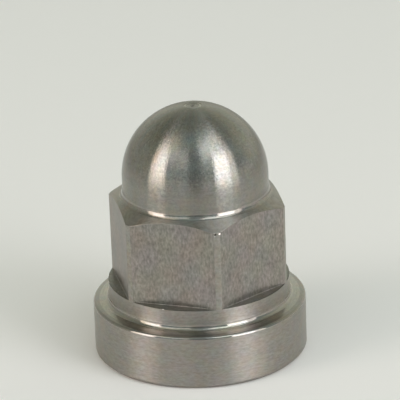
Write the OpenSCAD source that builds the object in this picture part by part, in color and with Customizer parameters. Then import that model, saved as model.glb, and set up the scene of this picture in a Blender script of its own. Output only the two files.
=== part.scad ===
// Flanged cap nut, turned and milled from one stainless steel bar.
// Millimetres. +Z runs from the seat face up to the dome; the origin is the centre of the seat face.

/* [Flange] */
// Outside diameter of the flange
flange_d = 20; // [19.4:0.1:26]
// Height of the flange at its edge, above the seat face
flange_h = 5.2; // [3:0.1:6]
// Slope of the flange's top, which falls outwards, in degrees
flange_fall = 7.5; // [1:0.5:12]
// Radius that rounds the flange's upper edge
flange_edge_r = 0.3; // [0.1:0.05:0.6]
// Chamfer on the edge of the seat face
base_chamfer = 0.35; // [0.1:0.05:0.6]

/* [Collar] */
// Diameter of the turned collar, which is also the diameter across the hexagon's clipped corners
collar_d = 17; // [16:0.1:17.3]
// Height of the milled ledges, where the collar ends and the flats begin
ledge_z = 7.2; // [6.8:0.1:8]
// Fillet between the collar and the flange
collar_fillet = 0.45; // [0.2:0.05:0.6]

/* [Hexagon] */
// Width across the flats
hex_af = 15; // [14.4:0.1:15.4]
// Height at which the chamfer above the hexagon meets the dome's cylindrical root
shoulder_z = 15.68; // [14:0.02:16]
// Slope of the chamfer above the hexagon, from the horizontal, in degrees
chamfer_angle = 30; // [15:1:35]
// Corner radius of the cutter that milled the flats
cutter_corner_r = 0.05; // [0.05:0.01:0.3]

/* [Dome] */
// Diameter of the dome and of its cylindrical root
dome_d = 13.6; // [13:0.1:14]
// Total height over the dome, before its turning facet
overall_h = 24.1; // [23.5:0.1:26]
// Fillet between the dome's root and the chamfer
dome_fillet = 0.65; // [0.2:0.05:0.7]
// Diameter of the small flat that the turning tool left at the pole
facet_d = 1.3; // [0.6:0.1:2]

/* [Thread] */
// Nominal thread diameter
thread_d = 10; // [8:1:10]
// Thread pitch
thread_pitch = 1.5; // [1:0.25:1.5]
// Depth of the full-diameter hole from the seat face
hole_depth = 19; // [16:0.5:20]
// Point angle of the drill
drill_angle = 118; // [90:1:140]
// Diameter of the countersink at the mouth
mouth_d = 10.9; // [10.2:0.1:12]

/* [Hidden] */
$fn = 96;
steel = [0.56, 0.55, 0.52];

flange_r = flange_d / 2;
collar_r = collar_d / 2;
dome_r = dome_d / 2;
equator_z = overall_h - dome_r;
slope = tan(chamfer_angle);
corner_z = shoulder_z - (collar_r - dome_r) * slope;
// minor diameter of the internal thread: the crests that the bolt passes
minor_r = (thread_d - 1.0825 * thread_pitch) / 2;
drill_tip = minor_r / tan(drill_angle / 2);
mouth_r = mouth_d / 2;
facet_r = facet_d / 2;
facet_z = equator_z + sqrt(dome_r * dome_r - facet_r * facet_r);
// fillet at the dome's root: height of its centre above the shoulder, and where it meets the chamfer
root_h = dome_fillet * (1 - sin(chamfer_angle)) / cos(chamfer_angle);
root_x = dome_fillet * (1 - sin(chamfer_angle));
root_y = root_h - dome_fillet * cos(chamfer_angle);
// flange top: where it meets the upper edge's rounding, its height at the axis, and the collar fillet's centre
edge_x = flange_r - flange_edge_r;
edge_z = flange_h - flange_edge_r;
top_z = edge_z + flange_edge_r / cos(flange_fall) + edge_x * tan(flange_fall);
fillet_x = collar_r + collar_fillet;
fillet_z = top_z - fillet_x * tan(flange_fall) + collar_fillet / cos(flange_fall);
// how far the cut that rounds the flange's edge reaches out past it
lap = 0.2;

// What rounds the flange's upper edge: the corner beyond the rounding's two tangent points
module edge_cut() {
    s = sin(flange_fall);
    c = cos(flange_fall);
    translate([edge_x, edge_z]) difference() {
        polygon([
            [0, 0], [flange_edge_r * s, flange_edge_r * c], [(flange_edge_r + lap) * s, (flange_edge_r + lap) * c],
            [flange_edge_r + lap, (flange_edge_r + lap) * c], [flange_edge_r + lap, 0]
        ]);
        circle(r = flange_edge_r);
    }
}

// Half section of the turned blank: flange, collar, bar for the hexagon, dome
module blank_section() {
    // flange, collar and the bar above it, up to the chamfer that crowns the hexagon; the outline passes
    // through the centres of the two concave fillets, whose circles are then taken away
    difference() {
        polygon([
            [0, 0], [flange_r - base_chamfer, 0], [flange_r, base_chamfer],
            [flange_r, top_z - flange_r * tan(flange_fall)],
            [fillet_x - collar_fillet * sin(flange_fall), fillet_z - collar_fillet * cos(flange_fall)],
            [fillet_x, fillet_z], [collar_r, fillet_z], [collar_r, corner_z],
            [dome_r + root_x, shoulder_z + root_y],
            [dome_r + dome_fillet, shoulder_z + root_h],
            [0, shoulder_z + root_h]
        ]);
        translate([fillet_x, fillet_z]) circle(r = collar_fillet);
        translate([dome_r + dome_fillet, shoulder_z + root_h]) circle(r = dome_fillet);
        edge_cut();
    }
    // cylindrical root and spherical dome, faced off at the pole
    square([dome_r, equator_z]);
    intersection() {
        translate([0, equator_z]) circle(r = dome_r);
        translate([0, equator_z]) square([dome_r + 1, facet_z - equator_z]);
    }
}

module turned_blank() {
    rotate_extrude() blank_section();
}

// What one pass of the end mill takes off: outside the flat, above the ledge
module flat_cut() {
    c = cutter_corner_r;
    w = collar_r - hex_af / 2 + 1;
    h = overall_h - ledge_z;
    translate([hex_af / 2, 0, ledge_z]) rotate([90, 0, 0])
        linear_extrude(height = collar_d + 2, center = true) {
            translate([c, 0]) square([w, h]);
            translate([0, c]) square([w, h - c]);
            translate([c, c]) circle(r = c);
        }
}

// Tapping hole with its drill point, at the thread's minor diameter, and the countersunk mouth
module thread_hole() {
    depth = mouth_r - minor_r;
    translate([0, 0, -1]) cylinder(r = minor_r, h = hole_depth + 1);
    translate([0, 0, hole_depth]) cylinder(r1 = minor_r, r2 = 0, h = drill_tip);
    translate([0, 0, -1]) cylinder(r = mouth_r, h = 1);
    cylinder(r1 = mouth_r, r2 = minor_r, h = depth);
}

module cap_nut() {
    color(steel) difference() {
        turned_blank();
        for (k = [0:5]) rotate([0, 0, 60 * k]) flat_cut();
        thread_hole();
    }
}

cap_nut();
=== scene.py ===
import math

import bpy
import numpy as np
from mathutils import Matrix, Quaternion, Vector


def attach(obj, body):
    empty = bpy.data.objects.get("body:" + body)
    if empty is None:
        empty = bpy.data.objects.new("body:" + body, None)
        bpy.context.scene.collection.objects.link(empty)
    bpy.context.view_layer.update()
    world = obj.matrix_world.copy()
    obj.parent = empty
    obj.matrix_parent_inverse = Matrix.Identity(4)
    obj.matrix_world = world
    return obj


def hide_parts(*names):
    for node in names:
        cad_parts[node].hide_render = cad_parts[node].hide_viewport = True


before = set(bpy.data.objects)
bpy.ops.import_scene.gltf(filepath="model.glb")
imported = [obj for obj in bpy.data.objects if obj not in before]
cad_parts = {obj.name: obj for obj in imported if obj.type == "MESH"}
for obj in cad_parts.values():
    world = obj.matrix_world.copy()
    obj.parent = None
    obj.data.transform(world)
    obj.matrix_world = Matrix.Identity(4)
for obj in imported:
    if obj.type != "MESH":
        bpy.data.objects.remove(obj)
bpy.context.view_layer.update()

MM = 0.001
scene = bpy.context.scene

# ---------------------------------------------------------------------------
# Sizes in millimetres, the same as the CAD part's
# ---------------------------------------------------------------------------
FLANGE_R, FLANGE_H, FLANGE_EDGE, BASE_CHAMFER = 10.0, 5.2, 0.30, 0.35
COLLAR_R, LEDGE_Z, COLLAR_FILLET = 8.5, 7.2, 0.45
FLANGE_FALL = math.radians(7.5)   # the flange's top falls outwards
FLAT_R, SHOULDER_Z, SLOPE = 7.5, 15.68, math.radians(30)
DOME_R, TOP_Z, DOME_FILLET, FACET_R = 6.8, 24.1, 0.65, 0.65
EQUATOR_Z = TOP_Z - DOME_R
FACET_Z = EQUATOR_Z + math.sqrt(DOME_R ** 2 - FACET_R ** 2)
MINOR_R, MAJOR_R, PITCH = 4.188, 5.03, 1.5
HOLE_Z, MOUTH_R = 19.0, 5.45
TIP_Z = HOLE_Z + MINOR_R / math.tan(math.radians(59))
EDGE_BREAK = 0.05          # the small rounding that deburring left on the milled edges
CUTTER_R = 0.05            # corner radius where a flat meets its ledge
CORNER_SOFT = 0.005        # rounds the upright edges between flats and corner bands

# the pit finish is a very dark steel: painted shade in the pole's pit, in dents and along the top of the ledges'
# rounded outer edges
# the ring finish is a lighter, rough steel: a painted highlight on the pole's raised ring and on two burrs at the
# ledges' edges
TURNED, MILLED, LEDGE, SEAT, THREAD, DOME, SMOOTH, PAINTED_HIGHLIGHT, PAINTED_SHADE, BAND, FOOT, ROOT = range(12)


# ---------------------------------------------------------------------------
# Columns: azimuths in degrees, closer together at the hexagon's corners and marks
# ---------------------------------------------------------------------------
def column_azimuths(extra):
    near = [0, 0.5, 1.0, 1.4, 1.65, 1.80, 1.87, 1.93, 1.99, 2.06, 2.22, 2.5, 2.9, 3.6, 4.6]
    wide = list(np.linspace(4.6, 30.0, 18)[1:])
    half = near + wide
    out = set()
    for k in range(6):
        c = 30 + 60 * k
        for d in half:
            for s in (-1, 1):
                out.add(round((c + s * d) % 360, 4))
    for az, width_mm, radius in extra:
        step = math.degrees(width_mm / radius)
        for j in range(-4, 5):
            out.add(round((az + j * step) % 360, 4))
    az = sorted(out)
    kept = [az[0]]
    for a in az[1:]:
        if a - kept[-1] > 0.04:
            kept.append(a)
    return np.radians(np.array(kept))


# Small marks: (azimuth, z or None, radius of the surface there, mark's radius, depth; a negative depth stands proud)
PIT_FLANGE = (-141.4, 4.17)
BURR = (-88.4, 14.62)
MARK_COLUMNS = [(-141.4, 0.04, 10.0), (-88.4, 0.035, 8.5), (-90.7, 0.035, 8.5), (-125.2, 0.035, 8.5), (-185.0, 0.05, 8.5), (-172.7, 0.045, 8.5), (-168.4, 0.04, 8.5), (-196.0, 0.05, 8.5)]

PHI = column_azimuths(MARK_COLUMNS)
NC = len(PHI)
m = (PHI + math.radians(30)) % math.radians(60) - math.radians(30)


def soft_min(a, b, k):
    lo = np.minimum(a, b)
    return lo - k * np.log(np.exp(-(a - lo) / k) + np.exp(-(b - lo) / k))


HEX_R = soft_min(FLAT_R / np.cos(m), np.full(NC, COLLAR_R), CORNER_SOFT)
LEDGE_W = COLLAR_R - HEX_R
on_flat = np.abs(m) < math.acos(FLAT_R / COLLAR_R)
one = np.ones(NC)

rows_r, rows_z, rows_zone = [], [], []


def row(r, z, zone=TURNED):
    """One ring of the outer surface; zone is the finish of the faces between this ring and the next."""
    rows_r.append(np.broadcast_to(np.asarray(r, float), (NC,)).copy())
    rows_z.append(np.broadcast_to(np.asarray(z, float), (NC,)).copy())
    rows_zone.append(zone)


# pole: the turning tool left a small raised ring, a shallow dish inside it and a pit at the centre; the pit is given
# painted shade and the ring a painted highlight by their finishes
for r, z, zone in ((0.04, -0.200, PAINTED_SHADE), (0.08, -0.190, PAINTED_SHADE), (0.11, -0.130, PAINTED_SHADE), (0.135, -0.075, DOME), (0.17, -0.050, DOME), (0.22, -0.044, DOME), (0.32, -0.040, DOME),
                   (0.45, -0.036, DOME), (0.56, -0.033, DOME), (0.61, -0.028, DOME), (0.637, -0.018, PAINTED_HIGHLIGHT), (0.66, -0.006, PAINTED_HIGHLIGHT), (0.68, -0.001, PAINTED_HIGHLIGHT), (0.70, 0.0, PAINTED_HIGHLIGHT),
                   (0.72, -0.006, PAINTED_HIGHLIGHT), (0.74, -0.018, PAINTED_HIGHLIGHT), (0.765, -0.036, PAINTED_HIGHLIGHT), (0.79, -0.052, DOME), (0.81, -0.057, DOME), (0.835, -0.054, DOME), (0.86, -0.044, DOME)):
    row(r, FACET_Z + z, zone)
POLE_ROWS = len(rows_r)
# dome
for t in np.linspace(math.asin(0.90 / DOME_R), math.pi / 2, 37):
    row(DOME_R * math.sin(t), EQUATOR_Z + DOME_R * math.cos(t), DOME)
# cylindrical root
root_h = DOME_FILLET * (1 - math.sin(SLOPE)) / math.cos(SLOPE)
zc_root = SHOULDER_Z + root_h
for z in (16.9, 16.5, 16.2):
    row(DOME_R, z, DOME)
# fillet from the root to the chamfer
for a in np.linspace(180, 240, 11):
    row(DOME_R + DOME_FILLET + DOME_FILLET * math.cos(math.radians(a)), zc_root + DOME_FILLET * math.sin(math.radians(a)), ROOT if a < 239 else TURNED)
# 30 degree chamfer down to the hexagon
tan_s = math.tan(SLOPE)
r_start = DOME_R + DOME_FILLET * (1 - math.sin(SLOPE))
rc = HEX_R - EDGE_BREAK
z_break = SHOULDER_Z - (rc - DOME_R) * tan_s - EDGE_BREAK / math.cos(SLOPE)
r_end = rc + EDGE_BREAK * math.sin(SLOPE)
for f in (0.17, 0.34, 0.51, 0.68, 0.83, 0.90, 0.94, 0.97):
    r = r_start + (r_end - r_start) * f
    row(r, SHOULDER_Z - (r - DOME_R) * tan_s)
# rounded edge between the chamfer and the wall
for a in (60, 45, 30, 15):
    row(rc + EDGE_BREAK * math.cos(math.radians(a)), z_break + EDGE_BREAK * math.sin(math.radians(a)))
# wall: milled flats, with the turned bar left as a narrow band at each corner
c_eff = np.minimum(CUTTER_R, 0.4 * LEDGE_W)
e_eff = np.minimum(EDGE_BREAK, 0.4 * LEDGE_W)
fade = np.clip(LEDGE_W / 0.05, 0, 1)
spread = 0.13 * (1 - fade * fade * (3 - 2 * fade))
z_low = LEDGE_Z + c_eff + 0.5 * spread
for f in (0, 0.005, 0.01, 0.016, 0.023, 0.032, 0.05, 0.1, 0.2, 0.35, 0.5, 0.65, 0.8, 0.92):
    row(HEX_R, z_break + (z_low - z_break) * f, MILLED)
# the cutter's corner, the ledge and its edge; at the corners these rings run straight down the bar
steps = [("f", a) for a in (180, 202, 225, 247, 270)] + [("l", v) for v in (0.06, 0.35, 0.67)] + [("e", a) for a in (90, 67, 45, 22, 0)]
# the cutter's corner has the same finish as the flats
corner_rows = set()
for j, (kind, v) in enumerate(steps):
    if kind == "f":
        a = math.radians(v)
        r = HEX_R + c_eff + c_eff * math.cos(a)
        z = LEDGE_Z + c_eff + c_eff * math.sin(a)
        corner_rows.add(len(rows_zone))
    elif kind == "l":
        a0, a1 = HEX_R + c_eff, COLLAR_R - e_eff
        r, z = a0 + (a1 - a0) * v, LEDGE_Z * one
    else:
        a = math.radians(v)
        r = COLLAR_R - e_eff + e_eff * math.cos(a)
        z = LEDGE_Z - e_eff + e_eff * math.sin(a)
    z = z + spread * (0.5 - j / (len(steps) - 1))
    # the upper half of each ledge's rounded outer edge gets the dark pit finish: a painted dark line of shade along
    # the edge
    row(r, z, (PAINTED_SHADE if kind == "e" and v > 40 else LEDGE) if j < len(steps) - 1 else TURNED)
# collar and the fillet at its foot
edge_x, edge_z = FLANGE_R - FLANGE_EDGE, FLANGE_H - FLANGE_EDGE
top_at = lambda r: edge_z + FLANGE_EDGE / math.cos(FLANGE_FALL) + (edge_x - r) * math.tan(FLANGE_FALL)
# the wall curves gently into the fillet: a wide arc over the first few degrees, then the fillet's own radius
LEAD_R, LEAD = 2.4, math.radians(12)
xf = COLLAR_R + LEAD_R - (LEAD_R - COLLAR_FILLET) * math.cos(LEAD)
zf = top_at(xf) + COLLAR_FILLET / math.cos(FLANGE_FALL)
z_lead = zf + (LEAD_R - COLLAR_FILLET) * math.sin(LEAD)
for z in (7.0, 6.8):
    row(COLLAR_R, z)
for t in (0, 0.25, 0.5, 0.75):
    row(COLLAR_R + LEAD_R * (1 - math.cos(t * LEAD)), z_lead - LEAD_R * math.sin(t * LEAD), TURNED if t < 0.7 else SMOOTH)
for a in np.linspace(192, 270 - math.degrees(FLANGE_FALL), 10):
    row(xf + COLLAR_FILLET * math.cos(math.radians(a)), zf + COLLAR_FILLET * math.sin(math.radians(a)), SMOOTH if a < 218 else FOOT)
# flange top and its rounded edge
for r in (9.15, 9.45):
    row(r, top_at(r), FOOT if r < 9.3 else SMOOTH)
for a in np.linspace(90 - math.degrees(FLANGE_FALL), 0, 9):
    row(edge_x + FLANGE_EDGE * math.cos(math.radians(a)), edge_z + FLANGE_EDGE * math.sin(math.radians(a)), SMOOTH if a > 1 else TURNED)
# flange side, with rings close together where the pit is
pz = PIT_FLANGE[1]
for z in (4.6, pz + 0.16, pz + 0.12, pz + 0.08, pz + 0.04, pz, pz - 0.04, pz - 0.08, pz - 0.12, pz - 0.16, 3.4, 2.6, 1.8, 1.0):
    row(FLANGE_R, z)
# seat edge: a chamfer with softened arrises
b = BASE_CHAMFER
for r, z in ((0, b + 0.10), (0.004, b + 0.04), (0.02, b - 0.01), (0.05, b - 0.055), (b - 0.055, 0.05), (b - 0.01, 0.02), (b + 0.04, 0.004), (b + 0.10, 0)):
    row(FLANGE_R - r, z)
rows_zone[-1] = SEAT
# seat face
for r in (9.0, 8.2, 7.2, 6.3):
    row(r, 0.0, SEAT)

R, Z = np.array(rows_r), np.array(rows_z)
NR = len(R)

# pole vertex first, then the rings
X, Y = R * np.cos(PHI), R * np.sin(PHI)
outer = np.stack([X, Y, Z], -1).reshape(-1, 3)
pole = np.array([[0, 0, FACET_Z - 0.204]])
verts = [pole, outer]
faces, zones = [], []
# the fan round the pole's centre has the dark pit finish: painted shade in the pit
for c in range(NC):
    faces.append((0, 1 + c, 1 + (c + 1) % NC))
    zones.append(PAINTED_SHADE)
flat_face = on_flat & np.roll(on_flat, -1)
for i in range(NR - 1):
    for c in range(NC):
        d = (c + 1) % NC
        a0, a1, b0, b1 = 1 + i * NC + c, 1 + i * NC + d, 1 + (i + 1) * NC + c, 1 + (i + 1) * NC + d
        zone = rows_zone[i]
        if i in corner_rows:
            zone = MILLED
        if zone in (MILLED, LEDGE, PAINTED_SHADE) and 30 < i and not flat_face[c]:
            zone = BAND
        faces.append((a0, b0, b1, a1))
        zones.append(zone)


# ---------------------------------------------------------------------------
# Threaded hole: each column is a chain of points from the mouth to the drill point,
# and neighbouring chains are zipped together so that the mesh follows the helix
# ---------------------------------------------------------------------------
NT = 96
LEVELS = (0.0, 0.10, 0.135, 0.20, 0.28, 0.36, 0.42, 0.455, 0.5, 0.545, 0.58, 0.64, 0.72, 0.80, 0.865, 0.90)
Z_A, Z_B = 0.30, 17.4          # between these the points follow the helix


def thread_r(u):
    """Internal thread: radius at the fraction u of a pitch, crest at 0 and root at 0.5, corners slightly rounded."""
    d = abs((u + 0.5) % 1 - 0.5)
    crest, root = 0.125, 0.4375
    t = min(max((d - crest) / (root - crest), 0), 1)
    s = t - 0.035 * math.sin(2 * math.pi * t)
    return MINOR_R + (MAJOR_R - MINOR_R) * s


def hole_r(turn, z):
    cone = MOUTH_R + 0.05 - z
    depth = min(max((17.2 - z) / 1.5, 0), 1)
    depth = depth * depth * (3 - 2 * depth)
    t = MINOR_R + (thread_r(z / PITCH - turn) - MINOR_R) * depth
    return max(t, cone)


base = 1 + NR * NC
chains, hole_verts = [], []
for i in range(NT):
    turn = i / NT
    zs = [0.05, 0.12, 0.2]
    k0 = int(math.floor(Z_A / PITCH - turn)) - 1
    for k in range(k0, int(Z_B / PITCH) + 2):
        for lv in LEVELS:
            z = (k + lv + turn) * PITCH
            if Z_A <= z <= Z_B:
                zs.append(z)
    zs += [17.8, 18.3, 18.7]
    chain = []
    a = 2 * math.pi * turn
    pts = [(MOUTH_R + 0.10, 0.0), (MOUTH_R + 0.03, 0.012)]
    pts += [(hole_r(turn, z), z) for z in zs]
    # softened edge at the foot of the drill point, then the cone
    pts += [(MINOR_R, HOLE_Z - 0.1), (MINOR_R - 0.05, HOLE_Z + 0.02), (MINOR_R * 0.75, HOLE_Z + (TIP_Z - HOLE_Z) * 0.25), (MINOR_R * 0.45, HOLE_Z + (TIP_Z - HOLE_Z) * 0.55), (MINOR_R * 0.15, HOLE_Z + (TIP_Z - HOLE_Z) * 0.85)]
    for r, z in pts:
        chain.append((base + len(hole_verts), z))
        hole_verts.append((r * math.cos(a), r * math.sin(a), z))
    chains.append(chain)
tip = base + len(hole_verts)
hole_verts.append((0, 0, HOLE_Z + (TIP_Z - HOLE_Z) * 0.985))
verts.append(np.array(hole_verts))


for i in range(NT):
    a, b2 = chains[i], chains[(i + 1) % NT]
    shift = PITCH / NT
    p = q = 0
    while p < len(a) - 1 or q < len(b2) - 1:
        if p == len(a) - 1:
            step_b = True
        elif q == len(b2) - 1:
            step_b = False
        else:
            za, zb = a[p + 1][1], b2[q + 1][1]
            sa = shift if Z_A <= za <= Z_B else 0.0
            step_b = zb < za + sa - 1e-6
            both = abs(zb - za - sa) < 1e-5
            if both:
                faces.append((a[p][0], a[p + 1][0], b2[q + 1][0], b2[q][0]))
                zones.append(THREAD)
                p += 1
                q += 1
                continue
        if step_b:
            faces.append((a[p][0], b2[q + 1][0], b2[q][0]))
            q += 1
        else:
            faces.append((a[p][0], a[p + 1][0], b2[q][0]))
            p += 1
        zones.append(THREAD)
    faces.append((a[-1][0], tip, b2[-1][0]))
    zones.append(THREAD)

# seat face: zip the outer ring (NC points) to the mouth's ring (NT points)
outer_ring = [(1 + (NR - 1) * NC + c, PHI[c]) for c in range(NC)]
inner_ring = [(chains[i][0][0], 2 * math.pi * i / NT) for i in range(NT)]
outer_ring.append((outer_ring[0][0], outer_ring[0][1] + 2 * math.pi))
inner_ring.append((inner_ring[0][0], inner_ring[0][1] + 2 * math.pi))
p = q = 0
while p < NC or q < NT:
    if q == NT or (p < NC and outer_ring[p + 1][1] <= inner_ring[q + 1][1]):
        faces.append((outer_ring[p][0], inner_ring[q][0], outer_ring[p + 1][0]))
        p += 1
    else:
        faces.append((outer_ring[p][0], inner_ring[q][0], inner_ring[q + 1][0]))
        q += 1
    zones.append(SEAT)

V = np.concatenate(verts)


# ---------------------------------------------------------------------------
# Small marks as real dents and burrs: (azimuth, radius, height, width, depth), all in mm and degrees; some also get a
# dark finish (painted shade) or a light finish (painted highlight)
# ---------------------------------------------------------------------------
def point(az, r, z):
    a = math.radians(az)
    return np.array([r * math.cos(a), r * math.sin(a), z])


def dent(az, r, z, width, depth, direction=None, finish=None):
    """Moves the surface near a point inwards by depth (outwards if negative) over a Gaussian of that width."""
    c = point(az, r, z)
    d = np.array(direction, float) if direction is not None else -np.array([math.cos(math.radians(az)), math.sin(math.radians(az)), 0])
    d = d / np.linalg.norm(d)
    near = np.linalg.norm(V - c, axis=1)
    if finish is not None:
        for k, f in enumerate(faces):
            if max(near[i] for i in f) < 1.3 * width:
                zones[k] = finish
    w = np.exp(-((near / width) ** 2))
    w[near > 3 * width] = 0
    V[:] += depth * w[:, None] * d


def facet(az, r, z, radius, facing_az, facing_el, lift, finish):
    """Flattens the surface near a point to a small bright facet that faces this way, as a nick or a burr does."""
    c = point(az, r, z)
    a, e = math.radians(facing_az), math.radians(facing_el)
    n = np.array([math.cos(e) * math.cos(a), math.cos(e) * math.sin(a), math.sin(e)])
    near = np.linalg.norm(V - c, axis=1)
    for k, f in enumerate(faces):
        if max(near[i] for i in f) < 1.15 * radius:
            zones[k] = finish
    t = np.clip((1.3 * radius - near) / (0.4 * radius), 0, 1)
    V[:] -= (t * t * (3 - 2 * t) * ((V - c) @ n - lift))[:, None] * n


dent(-141.4, 10.0, 4.17, 0.08, 0.10)
# this dent beside the corner's glint gets the dark pit finish: painted shade in it
dent(-90.8, 8.5, 14.57, 0.10, 0.14, (0, 0.9, -0.5), PAINTED_SHADE)
facet(-88.1, 8.46, 14.59, 0.12, -78.3, 22.6, 0.01, SMOOTH)
# these two burrs get the light ring finish: a painted highlight on top of the glint their facets catch
facet(-125.3, 8.48, 7.18, 0.075, -134.5, 27.3, 0.01, PAINTED_HIGHLIGHT)
facet(-184.6, 8.46, 7.20, 0.13, -138.0, 30.0, 0.0, PAINTED_HIGHLIGHT)
# these three dents at the ledges' edges get the dark pit finish: painted shade in them
dent(-196.0, 8.5, 7.2, 0.12, 0.10, (0.9, -0.2, -0.6), PAINTED_SHADE)
dent(-172.7, 8.5, 7.2, 0.10, 0.12, (0.9, 0.1, -0.5), PAINTED_SHADE)
dent(-168.4, 8.5, 7.2, 0.09, 0.12, (0.9, 0.2, -0.5), PAINTED_SHADE)

# ---- materials ----
# Coordinates for the finishes: "turn" runs along the profile and around the axis, "mill" along and up each flat
step_r, step_z = np.diff(R.min(axis=1)), np.diff(Z.mean(axis=1))
along = np.concatenate([[0], np.cumsum(np.hypot(step_r, step_z))])
arc = np.broadcast_to(along[:, None], (NR, NC))

ALL_PHI = np.arctan2(V[:, 1], V[:, 0])
turn = np.zeros((len(V), 3))
turn[:, 0] = np.cos(ALL_PHI)
turn[:, 1] = np.sin(ALL_PHI)
turn[1:1 + NR * NC, 2] = arc.ravel()
hz = V[base:, 2]
hr = np.hypot(V[base:, 0], V[base:, 1])
turn[base:, 2] = 80 + hz
flat_no = np.floor(((ALL_PHI + math.radians(30)) % (2 * math.pi)) / math.radians(60))
mm = (ALL_PHI + math.radians(30)) % math.radians(60) - math.radians(30)
rad = np.hypot(V[:, 0], V[:, 1])
mill = np.stack([rad * np.sin(mm) + 37.0 * flat_no, V[:, 2], rad * np.cos(mm)], -1)

me = bpy.data.meshes.new("cap_nut_detail")
me.from_pydata((V * MM).tolist(), [], faces)
me.update()
for name, data in (("turn", turn), ("mill", mill)):
    at = me.attributes.new(name, "FLOAT_VECTOR", "POINT")
    at.data.foreach_set("vector", data.astype(np.float32).ravel())
me.polygons.foreach_set("material_index", np.array(zones, dtype=np.int32))
me.polygons.foreach_set("use_smooth", np.ones(len(faces), dtype=bool))

# shading normals weighted by face area, so that narrow roundings don't bend the flat faces beside them
tri = np.array([(f[0], f[k], f[k + 1]) for f in faces for k in range(1, len(f) - 1)])
fn = np.cross(V[tri[:, 1]] - V[tri[:, 0]], V[tri[:, 2]] - V[tri[:, 0]])
vn = np.zeros_like(V)
for k in range(3):
    np.add.at(vn, tri[:, k], fn)
vn /= np.maximum(np.linalg.norm(vn, axis=1, keepdims=True), 1e-12)
me.normals_split_custom_set_from_vertices(vn.tolist())

nut = bpy.data.objects.new("cap_nut_machined", me)
scene.collection.objects.link(nut)


def new_material(name):
    mat = bpy.data.materials.new(name)
    mat.use_nodes = True
    nt = mat.node_tree
    nt.nodes.clear()
    return mat, nt


def node(nt, kind, **props):
    n = nt.nodes.new(kind)
    for k, v in props.items():
        setattr(n, k, v)
    return n


def link(nt, a, b):
    nt.links.new(a, b)


def stretched_noise(nt, attribute, scale, detail=2.0, rough=0.55, distortion=0.0, offset=(0, 0, 0)):
    """Noise of an attribute's coordinates, stretched by a different scale along each."""
    at = node(nt, "ShaderNodeAttribute", attribute_name=attribute)
    mp = node(nt, "ShaderNodeMapping")
    mp.inputs["Scale"].default_value = scale
    mp.inputs["Location"].default_value = offset
    link(nt, at.outputs["Vector"], mp.inputs["Vector"])
    nz = node(nt, "ShaderNodeTexNoise", noise_dimensions="3D")
    nz.inputs["Scale"].default_value = 1.0
    nz.inputs["Detail"].default_value = detail
    nz.inputs["Roughness"].default_value = rough
    nz.inputs["Distortion"].default_value = distortion
    link(nt, mp.outputs["Vector"], nz.inputs["Vector"])
    return nz.outputs["Fac"]


def math_node(nt, op, a, b=None, clamp=False):
    n = node(nt, "ShaderNodeMath", operation=op, use_clamp=clamp)
    for k, v in enumerate((a, b)):
        if v is None:
            continue
        if isinstance(v, (int, float)):
            n.inputs[k].default_value = v
        else:
            link(nt, v, n.inputs[k])
    return n.outputs[0]


def ramp_between(nt, fac, lo, hi, a, b):
    n = node(nt, "ShaderNodeMapRange", clamp=True)
    n.inputs["From Min"].default_value = lo
    n.inputs["From Max"].default_value = hi
    n.inputs["To Min"].default_value = a
    n.inputs["To Max"].default_value = b
    link(nt, fac, n.inputs["Value"])
    return n.outputs["Result"]


def mix_colour(nt, fac, a, b):
    n = node(nt, "ShaderNodeMix", data_type="RGBA")
    link(nt, fac, n.inputs[0])
    n.inputs[6].default_value = (*a, 1)
    n.inputs[7].default_value = (*b, 1)
    return n.outputs[2]


def bump(nt, height, distance_mm, strength=1.0, normal=None):
    n = node(nt, "ShaderNodeBump")
    n.inputs["Distance"].default_value = distance_mm * MM
    n.inputs["Strength"].default_value = strength
    link(nt, height, n.inputs["Height"])
    if normal is not None:
        link(nt, normal, n.inputs["Normal"])
    return n.outputs["Normal"]


def tint(nt, fac, spread, cool, warm):
    """Colour that drifts from cool through white to warm with a noise value around 0.5."""
    n = node(nt, "ShaderNodeValToRGB")
    el = n.color_ramp.elements
    el.new(0.5)
    for e, (pos, colour) in zip(el, ((0.5 - spread, cool), (0.5, (1, 1, 1)), (0.5 + spread, warm))):
        e.position = pos
        e.color = (*colour, 1)
    link(nt, fac, n.inputs["Fac"])
    return n.outputs["Color"]


def times(nt, a, b):
    n = node(nt, "ShaderNodeMix", data_type="RGBA", blend_type="MULTIPLY")
    n.inputs[0].default_value = 1.0
    link(nt, a, n.inputs[6])
    link(nt, b, n.inputs[7])
    return n.outputs[2]


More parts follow.
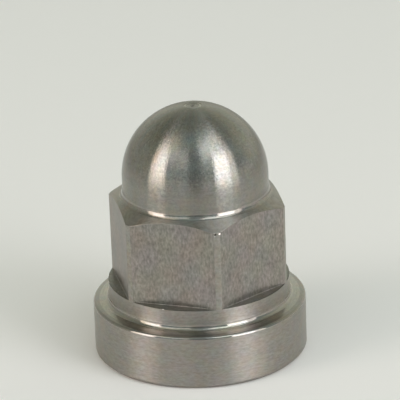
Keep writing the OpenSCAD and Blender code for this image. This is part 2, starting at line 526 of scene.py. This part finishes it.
def steel(name, tone, contrast, grain, clouds, roughness, anisotropic, rotation, relief, streaks=(), stains=(), grazing=1.0, drift=1.0):
    """Bare machined stainless steel.
    tone: mean colour; contrast: how far the grain lightens and darkens it; grain: (attribute, scale, detail);
    clouds: (attribute, scale, detail) of the faint pink, green, yellow and blue patches;
    roughness: smoothest and roughest; relief: list of (attribute, scale, detail, depth in mm);
    streaks: list of (attribute, scale, detail, amount) of lighter and darker tool marks;
    stains: list of (azimuth, arc, stretch, radius, colour); grazing: brightness at the very edge;
    drift: strength of the coloured patches."""
    mat, nt = new_material(name)
    out = node(nt, "ShaderNodeOutputMaterial")
    bsdf = node(nt, "ShaderNodeBsdfPrincipled")
    link(nt, bsdf.outputs[0], out.inputs["Surface"])
    bsdf.inputs["Metallic"].default_value = 1.0
    bsdf.inputs["Anisotropic"].default_value = anisotropic
    bsdf.inputs["Anisotropic Rotation"].default_value = rotation
    bsdf.inputs["Specular Tint"].default_value = (grazing, grazing, grazing, 1)
    tan = node(nt, "ShaderNodeTangent", direction_type="RADIAL", axis="Z")
    link(nt, tan.outputs[0], bsdf.inputs["Tangent"])
    marks = stretched_noise(nt, *grain, 0.65)
    dark = tuple(v * (1 - contrast) for v in tone)
    light = tuple(v * (1 + contrast) for v in tone)
    base = mix_colour(nt, ramp_between(nt, marks, 0.22, 0.78, 0, 1), dark, light)
    shade_of = lambda *c: tuple(1 + (v - 1) * drift for v in c)
    first = tint(nt, stretched_noise(nt, *clouds, 0.6), 0.16, shade_of(0.965, 1.015, 1.0), shade_of(1.04, 0.985, 0.99))
    second = tint(nt, stretched_noise(nt, *clouds, 0.6, 0.0, (17.3, 5.1, 9.7)), 0.16, shade_of(0.99, 1.0, 1.05), shade_of(1.015, 1.0, 0.945))
    colour = times(nt, times(nt, base, first), second)
    for k, (attribute, scale, detail, amount) in enumerate(streaks):
        v = stretched_noise(nt, attribute, scale, detail, 0.6, 0.0, (3.7 + 5.9 * k, 8.3, 1.9))
        colour = times(nt, colour, ramp_between(nt, v, 0.25, 0.75, 1 - amount, 1 + amount))
    for az, arc_mm, stretch, radius, shade in stains:
        at = node(nt, "ShaderNodeAttribute", attribute_name="turn")
        mp = node(nt, "ShaderNodeMapping", vector_type="TEXTURE")
        mp.inputs["Location"].default_value = (math.cos(math.radians(az)), math.sin(math.radians(az)), arc_mm)
        mp.inputs["Scale"].default_value = (radius / DOME_R, radius / DOME_R, radius * stretch)
        link(nt, at.outputs["Vector"], mp.inputs["Vector"])
        ln = node(nt, "ShaderNodeVectorMath", operation="LENGTH")
        link(nt, mp.outputs["Vector"], ln.inputs[0])
        n = node(nt, "ShaderNodeMapRange", clamp=True, interpolation_type="SMOOTHSTEP")
        link(nt, ln.outputs["Value"], n.inputs["Value"])
        blot = node(nt, "ShaderNodeMix", data_type="RGBA")
        link(nt, n.outputs["Result"], blot.inputs[0])
        blot.inputs[6].default_value = (*shade, 1)
        blot.inputs[7].default_value = (1, 1, 1, 1)
        colour = times(nt, colour, blot.outputs[2])
    link(nt, colour, bsdf.inputs["Base Color"])
    normal = None
    for attribute, scale, detail, depth in relief:
        normal = bump(nt, stretched_noise(nt, attribute, scale, detail, 0.6), depth, 1.0, normal)
    link(nt, normal, bsdf.inputs["Normal"])
    link(nt, ramp_between(nt, marks, 0.3, 0.7, *roughness), bsdf.inputs["Roughness"])
    return mat


CLOUDS = ("turn", (7, 7, 0.9), 2.0)


def dome_arc(lat):
    """Distance along the profile, in mm, of this latitude of the dome."""
    r = DOME_R * math.cos(math.radians(lat))
    part = slice(POLE_ROWS, POLE_ROWS + 37)
    return float(along[part][int(np.argmin(np.abs(R[part].min(axis=1) - r)))])


mats = [
    steel("turned_steel", (0.362, 0.337, 0.309), 0.22, ("turn", (22, 22, 6.0), 3.0), CLOUDS,
          (0.34, 0.39), 0.89, 0.25, [("turn", (4.0, 4.0, 9.0), 3.0, 0.0012), ("turn", (45, 45, 8), 2.0, 0.0016)],
          streaks=[("turn", (1.6, 1.6, 5.0), 2.0, 0.06)]),
    steel("milled_steel", (0.321, 0.297, 0.276), 0.38, ("mill", (4.6, 2.4, 0.5), 2.5), ("mill", (0.5, 0.42, 0.5), 0.5),
          (0.33, 0.40), 0.5, 0.0, [("mill", (6.0, 2.2, 0.5), 3.0, 0.0058)],
          streaks=[("mill", (0.5, 0.5, 0.5), 2.0, 0.08), ("mill", (6.5, 0.4, 0.5), 1.5, 0.06)], drift=0.8),
    # the ledges' own milled finish, with a tone darker than the flats' steel that paints shade under the flats
    steel("ledge_steel_with_painted_shade", (0.245, 0.240, 0.214), 0.30, ("mill", (2.0, 2.0, 8.0), 3.0), ("mill", (0.8, 0.8, 0.8), 2.0),
          (0.32, 0.38), 0.2, 0.25, [("mill", (3.0, 3.0, 6.0), 3.0, 0.0015)]),
    steel("seat_steel", (0.328, 0.310, 0.285), 0.12, ("turn", (9, 9, 11.0), 3.0), CLOUDS,
          (0.26, 0.32), 0.9, 0.25, [("turn", (0.7, 0.7, 7.0), 3.0, 0.004)]),
    steel("thread_steel", (0.320, 0.300, 0.275), 0.12, ("turn", (6, 6, 4.0), 3.0), ("turn", (3, 3, 0.6), 2.0),
          (0.26, 0.36), 0.4, 0.25, [("turn", (2, 2, 3.0), 3.0, 0.004)]),
    steel("dome_steel", (0.325, 0.312, 0.285), 0.25, ("turn", (30, 30, 5.0), 2.5), CLOUDS,
          (0.19, 0.26), 1.0, 0.25, [("turn", (42, 42, 3.5), 3.0, 0.0055), ("turn", (3.0, 3.0, 8.0), 3.0, 0.0008)],
          streaks=[("turn", (2.2, 2.2, 7.0), 2.0, 0.06), ("turn", (9.0, 9.0, 9.0), 2.0, 0.05), ("turn", (5.0, 5.0, 0.7), 2.0, 0.05)],
          grazing=0.88),
    steel("smooth_steel", (0.350, 0.326, 0.299), 0.14, ("turn", (22, 22, 7.0), 3.0), CLOUDS,
          (0.11, 0.14), 1.0, 0.25, [("turn", (4.0, 4.0, 9.0), 3.0, 0.0010)]),
    # lighter, rough steel that paints a highlight: on the pole's raised ring and on two burrs at the ledges' edges
    steel("ring_and_burr_painted_highlight_steel", (0.52, 0.51, 0.46), 0.20, ("turn", (9, 9, 7.0), 3.0), CLOUDS,
          (0.34, 0.40), 0.0, 0.0, [("turn", (9, 9, 9.0), 3.0, 0.002)]),
    # very dark steel that paints shade: in the pole's pit, in dents and along the top of the ledges' rounded outer
    # edges
    steel("pit_and_edge_painted_shade_steel", (0.115, 0.112, 0.098), 0.20, ("turn", (9, 9, 7.0), 3.0), CLOUDS,
          (0.40, 0.48), 0.0, 0.0, [("turn", (9, 9, 9.0), 3.0, 0.002)]),
    steel("bar_steel", (0.358, 0.337, 0.306), 0.26, ("turn", (22, 22, 3.0), 3.0), CLOUDS,
          (0.34, 0.39), 0.70, 0.25, [("turn", (22, 22, 1.5), 2.0, 0.0020)]),
    # the smoother finish of the collar fillet's foot and the inner flange top, with a tone lighter than the turned
    # steel's: a painted sheen that brightens the highlight mirrored there
    steel("foot_steel_with_painted_sheen", (0.44, 0.412, 0.372), 0.18, ("turn", (22, 22, 7.0), 3.0), CLOUDS,
          (0.14, 0.17), 0.9, 0.25, [("turn", (4.0, 4.0, 9.0), 3.0, 0.0010)]),
    steel("root_steel", (0.356, 0.332, 0.304), 0.16, ("turn", (22, 22, 7.0), 3.0), CLOUDS,
          (0.16, 0.20), 0.9, 0.25, [("turn", (1.2, 1.2, 11.0), 3.0, 0.004)]),
]
for mt in mats:
    me.materials.append(mt)

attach(nut, "root")
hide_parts("cap_nut")

# ---------------------------------------------------------------------------
# Floor, light and camera
# ---------------------------------------------------------------------------
AZ0 = math.radians(-90 - 11.923)      # the side of the nut that faces the camera
bpy.ops.mesh.primitive_plane_add(size=4.0, location=(0, 0, 0))
floor = bpy.context.object
floor.name = "floor"
FLOOR_NEAR, FLOOR_FAR_SHADE = (0.93, 0.91, 0.89), (0.48, 0.46, 0.44)
fmat, fnt = new_material("pale_floor")
fo = node(fnt, "ShaderNodeOutputMaterial")
fd = node(fnt, "ShaderNodeBsdfDiffuse")
# the pale floor's colour is painted darker slowly towards the camera, below the picture, and further off all round:
# painted shade standing for the light falling off
geo = node(fnt, "ShaderNodeNewGeometry")
away = node(fnt, "ShaderNodeVectorMath", operation="DISTANCE")
away.inputs[1].default_value = (0.006, 0.030, 0.0)
link(fnt, geo.outputs["Position"], away.inputs[0])
reach = ramp_between(fnt, away.outputs["Value"], 0.115, 0.21, 0, 1)
towards = node(fnt, "ShaderNodeVectorMath", operation="DOT_PRODUCT")
towards.inputs[1].default_value = (math.cos(AZ0), math.sin(AZ0), 0.0)
link(fnt, geo.outputs["Position"], towards.inputs[0])
ahead = ramp_between(fnt, towards.outputs["Value"], 0.022, 0.130, 0, 1)
painted_shade_falloff = math_node(fnt, "MAXIMUM", reach, ahead)
link(fnt, mix_colour(fnt, painted_shade_falloff, FLOOR_NEAR, FLOOR_FAR_SHADE), fd.inputs["Color"])
link(fnt, fd.outputs[0], fo.inputs["Surface"])
floor.data.materials.append(fmat)



LEAN = 9.0


def soft_box(name, az_from, az_to, el_from, el_to, dist, radiance, colour, upright=False, lean=0.0):
    """A rectangular soft box that fills this range of directions seen from the nut; az is measured
    from the camera's side, positive to the right, and el is the height above the floor, in degrees.
    lean turns it in its own plane, in degrees."""
    az = AZ0 + math.radians((az_from + az_to) / 2)
    half_az = math.radians((az_to - az_from) / 2)
    e0, e1 = math.radians(el_from), math.radians(el_to)
    if upright:
        reach, z0, z1, tilt = dist, dist * math.tan(e0), dist * math.tan(e1), 0.0
        z_mid, height = (z0 + z1) / 2, z1 - z0
    else:
        tilt = (e0 + e1) / 2
        reach, z_mid, height = dist * math.cos(tilt), dist * math.sin(tilt), 2 * dist * math.tan((e1 - e0) / 2)
    width = 2 * reach * math.tan(half_az)
    ld = bpy.data.lights.new(name, "AREA")
    ld.shape = "RECTANGLE"
    ld.size, ld.size_y = width, height
    ld.color = colour
    ld.energy = radiance * width * height * math.pi
    ob = bpy.data.objects.new(name, ld)
    ob.location = (reach * math.cos(az), reach * math.sin(az), z_mid + 0.010)
    facing = Vector((math.cos(tilt) * math.cos(az), math.cos(tilt) * math.sin(az), math.sin(tilt)))
    ob.rotation_euler = (facing.to_track_quat("Z", "Y") @ Quaternion((0, 0, 1), math.radians(lean))).to_euler()
    ob.visible_camera = False
    scene.collection.objects.link(ob)
    return ob


soft_box("tall_box_right", 35, 60, 0, 43, 0.60, 2.9, (1.0, 0.96, 0.97), upright=True, lean=-LEAN)
soft_box("bright_box_right", 36, 64, 22, 44, 0.59, 1.35, (0.84, 0.89, 1.0), upright=True, lean=-LEAN)
soft_box("edge_box_right", 60, 74, 0, 44, 0.61, 1.5, (1.0, 0.95, 0.92), upright=True, lean=-LEAN)
soft_box("tall_box_left", -81, -53, 0, 50, 0.60, 1.95, (1.0, 0.85, 0.74), upright=True, lean=LEAN)
soft_box("bright_box_left", -74, -55, 12, 46, 0.59, 1.1, (0.74, 0.80, 1.0), upright=True, lean=LEAN)
soft_box("core_box_left", -66, -54, 10, 42, 0.58, 0.33, (0.9, 1.0, 0.7), upright=True, lean=LEAN)
soft_box("high_box_right", 14, 46, 42, 68, 0.75, 1.6, (0.96, 1.0, 1.0))
soft_box("high_box_side", 46, 88, 52, 69, 0.75, 1.3, (0.96, 0.99, 1.0))
soft_box("high_box_left", -56, -14, 38, 52, 0.75, 1.22, (1.0, 0.97, 0.95))
soft_box("high_box_far_left", -90, -46, 53, 67, 0.75, 0.74, (1.0, 0.96, 0.75))

# dim surroundings: dark low down on the camera's side, paler behind the nut
world = bpy.data.worlds.new("studio")
scene.world = world
world.use_nodes = True
wn = world.node_tree
wn.nodes.clear()
wo = node(wn, "ShaderNodeOutputWorld")
bg = node(wn, "ShaderNodeBackground")
tc = node(wn, "ShaderNodeTexCoord")
dot = node(wn, "ShaderNodeVectorMath", operation="DOT_PRODUCT")
side = AZ0 + math.radians(15)
dot.inputs[1].default_value = (math.cos(side), math.sin(side), 0.0)
link(wn, tc.outputs["Generated"], dot.inputs[0])
behind = ramp_between(wn, dot.outputs["Value"], 0.35, -0.15, 0.0, 1.0)
height = node(wn, "ShaderNodeSeparateXYZ")
link(wn, tc.outputs["Generated"], height.inputs[0])


def height_ramp(stops):
    n = node(wn, "ShaderNodeValToRGB")
    el = n.color_ramp.elements
    while len(el) < len(stops):
        el.new(1.0)
    for e, (deg, colour) in zip(el, stops):
        e.position = math.sin(math.radians(deg))
        e.color = (*colour, 1)
    link(wn, height.outputs["Z"], n.inputs["Fac"])
    return n.outputs["Color"]


front = height_ramp([(0, (1.58, 1.55, 1.50)), (8, (0.44, 0.52, 0.51)), (22, (0.05, 0.09, 0.10)), (30, (0.70, 0.82, 0.77)),
                     (42, (0.12, 0.15, 0.18)), (60, (0.50, 0.54, 0.48)), (75, (0.38, 0.54, 0.58))])
back = height_ramp([(0, (0.72, 0.71, 0.61)), (20, (0.66, 0.70, 0.61)), (38, (0.50, 0.51, 0.41)), (48, (0.37, 0.40, 0.34)),
                    (60, (0.24, 0.28, 0.26)), (75, (0.29, 0.29, 0.23))])
mix = node(wn, "ShaderNodeMix", data_type="RGBA")
link(wn, behind, mix.inputs[0])
link(wn, front, mix.inputs[6])
link(wn, back, mix.inputs[7])
link(wn, mix.outputs[2], bg.inputs["Color"])
# a darker part of the room on the left, behind the left lamp
left = node(wn, "ShaderNodeVectorMath", operation="DOT_PRODUCT")
left_az, left_el = AZ0 + math.radians(-112), math.radians(28)
left.inputs[1].default_value = (math.cos(left_el) * math.cos(left_az), math.cos(left_el) * math.sin(left_az), math.sin(left_el))
link(wn, tc.outputs["Generated"], left.inputs[0])
# and the dark behind the camera
facing = node(wn, "ShaderNodeVectorMath", operation="DOT_PRODUCT")
facing.inputs[1].default_value = (math.cos(math.radians(12)) * math.cos(AZ0), math.cos(math.radians(12)) * math.sin(AZ0), math.sin(math.radians(12)))
link(wn, tc.outputs["Generated"], facing.inputs[0])
dim = math_node(wn, "MULTIPLY", ramp_between(wn, left.outputs["Value"], 0.60, 0.93, 1.0, 0.66), ramp_between(wn, facing.outputs["Value"], 0.962, 0.990, 1.0, 0.3))
link(wn, dim, bg.inputs["Strength"])
link(wn, bg.outputs[0], wo.inputs["Surface"])

# camera: matched to the photograph's viewing angle, with no shift
F_PX, DEPTH, ELEV, ROLL, TX, TY = 2799.10, 0.26083, math.radians(21.7924), math.radians(2.1123), 196.634, 216.932
fwd0 = Vector((0, math.cos(ELEV), -math.sin(ELEV)))
up0 = Vector((0, math.sin(ELEV), math.cos(ELEV)))
xax = Vector((1, 0, 0))
right = math.cos(ROLL) * xax - math.sin(ROLL) * up0
up = math.sin(ROLL) * xax + math.cos(ROLL) * up0
dx, dy = (TX - 200) * DEPTH / F_PX, -(TY - 200) * DEPTH / F_PX
pos = Vector((0, 0, 0.013)) - DEPTH * fwd0 - dx * right - dy * up
turn_z = Matrix.Rotation(math.radians(-11.923), 4, "Z")
cam_data = bpy.data.cameras.new("camera")
cam_data.sensor_width = 36.0
cam_data.lens = F_PX / 400 * 36.0
cam_data.clip_start, cam_data.clip_end = 0.01, 10
cam = bpy.data.objects.new("camera", cam_data)
basis = Matrix((right, up, -fwd0)).transposed().to_4x4()
basis.translation = pos
cam.matrix_world = turn_z @ basis
scene.collection.objects.link(cam)
scene.camera = cam
scene.view_settings.view_transform = "Standard"

bpy.context.view_layer.update()
